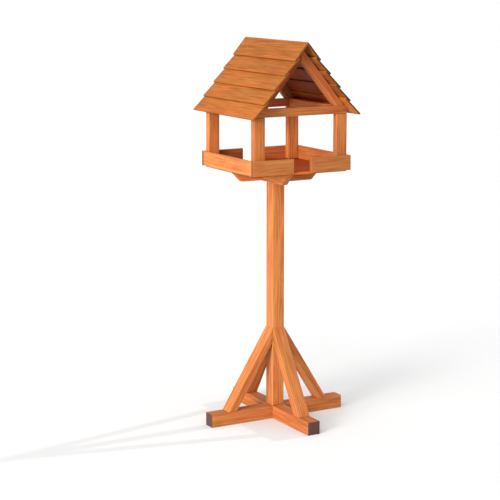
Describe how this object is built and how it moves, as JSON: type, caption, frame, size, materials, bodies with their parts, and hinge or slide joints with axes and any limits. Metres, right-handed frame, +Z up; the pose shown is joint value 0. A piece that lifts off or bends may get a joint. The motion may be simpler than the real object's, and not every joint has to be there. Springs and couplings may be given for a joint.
{
  "type": "bird table",
  "caption": "Wooden bird table with an open-sided tray under a gabled lap-board roof, on a square post with a braced cross base.",
  "frame": {"origin": "middle of the underside of the cross-shaped base, where the post's axis meets the ground", "axes": "+Z up the post, +X across the gables from the left eave to the right one, +Y along the ridge from the front gable to the back one"},
  "size_m": [0.507, 0.507, 1.2762],
  "materials": {
    "frame_timber": "orange-brown stained planed softwood",
    "tray_board": "orange-brown stained planed softwood",
    "floor_panel": "stained panel, slightly darker than the frame",
    "roof_board": "stained softwood boards with dark streaky grain",
    "screw_steel": "zinc plated",
    "nail_steel": "dull bare steel"
  },
  "bodies": {
    "root": {"base_timber_lower": "frame_timber", "base_timber_upper": "frame_timber", "post": "frame_timber", "brace_right": "frame_timber", "brace_back": "frame_timber", "brace_left": "frame_timber", "brace_front": "frame_timber", "head_bracket_right": "frame_timber", "head_bracket_back": "frame_timber", "head_bracket_left": "frame_timber", "head_bracket_front": "frame_timber", "tray_floor": "floor_panel", "tray_side_left": "tray_board", "tray_side_right": "tray_board", "tray_end_front_left": "tray_board", "tray_end_front_right": "tray_board", "tray_end_back_left": "tray_board", "tray_end_back_right": "tray_board", "corner_post_front_left": "frame_timber", "corner_post_front_right": "frame_timber", "corner_post_back_left": "frame_timber", "corner_post_back_right": "frame_timber", "tie_beam_front": "frame_timber", "tie_beam_back": "frame_timber", "side_plate_left": "frame_timber", "side_plate_right": "frame_timber", "rafter_front_left": "frame_timber", "rafter_front_right": "frame_timber", "rafter_back_left": "frame_timber", "rafter_back_right": "frame_timber", "roof_board_left_1": "roof_board", "roof_board_left_2": "roof_board", "roof_board_left_3": "roof_board", "roof_board_left_4": "roof_board", "roof_board_left_5": "roof_board", "roof_board_right_1": "roof_board", "roof_board_right_2": "roof_board", "roof_board_right_3": "roof_board", "roof_board_right_4": "roof_board", "roof_board_right_5": "roof_board", "post_screw": "screw_steel", "brace_foot_screw_right": "screw_steel", "brace_foot_screw_back": "screw_steel", "brace_foot_screw_left": "screw_steel", "brace_foot_screw_front": "screw_steel", "bracket_screw_right": "screw_steel", "bracket_screw_back": "screw_steel", "bracket_screw_left": "screw_steel", "bracket_screw_front": "screw_steel", "floor_screw_right": "screw_steel", "floor_screw_back": "screw_steel", "floor_screw_left": "screw_steel", "floor_screw_front": "screw_steel", "brace_top_nail_right": "nail_steel", "brace_top_nail_back": "nail_steel", "brace_top_nail_left": "nail_steel", "brace_top_nail_front": "nail_steel"}
  },
  "joints": []
}
